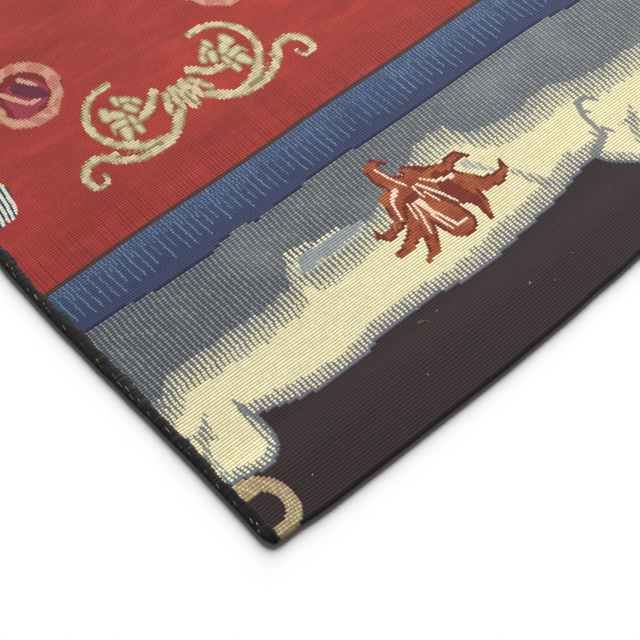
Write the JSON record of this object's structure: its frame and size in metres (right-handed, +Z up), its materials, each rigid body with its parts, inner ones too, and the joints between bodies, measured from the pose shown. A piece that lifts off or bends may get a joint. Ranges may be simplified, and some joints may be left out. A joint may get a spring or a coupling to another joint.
{
  "type": "aubusson tapestry corner length",
  "caption": "Corner length of a flat-woven wool tapestry with a turned-under front hem and an overcast binding up one side, lying flat.",
  "frame": {"origin": "bottom centre of the bounding box, on the surface that the sheet lies on", "axes": "+X along the turned front hem, away from the bound side; +Y from the hem into the field; +Z up, out of the face of the weave"},
  "size_m": [0.7086, 0.506, 0.0046],
  "materials": {
    "cloth": "weft-faced wool weave in ribs of 2 mm, matt",
    "binding_left": "black wool yarn overcast over the edge, matt"
  },
  "bodies": {
    "root": {"cloth": "cloth", "binding_left": "binding_left"}
  },
  "joints": []
}
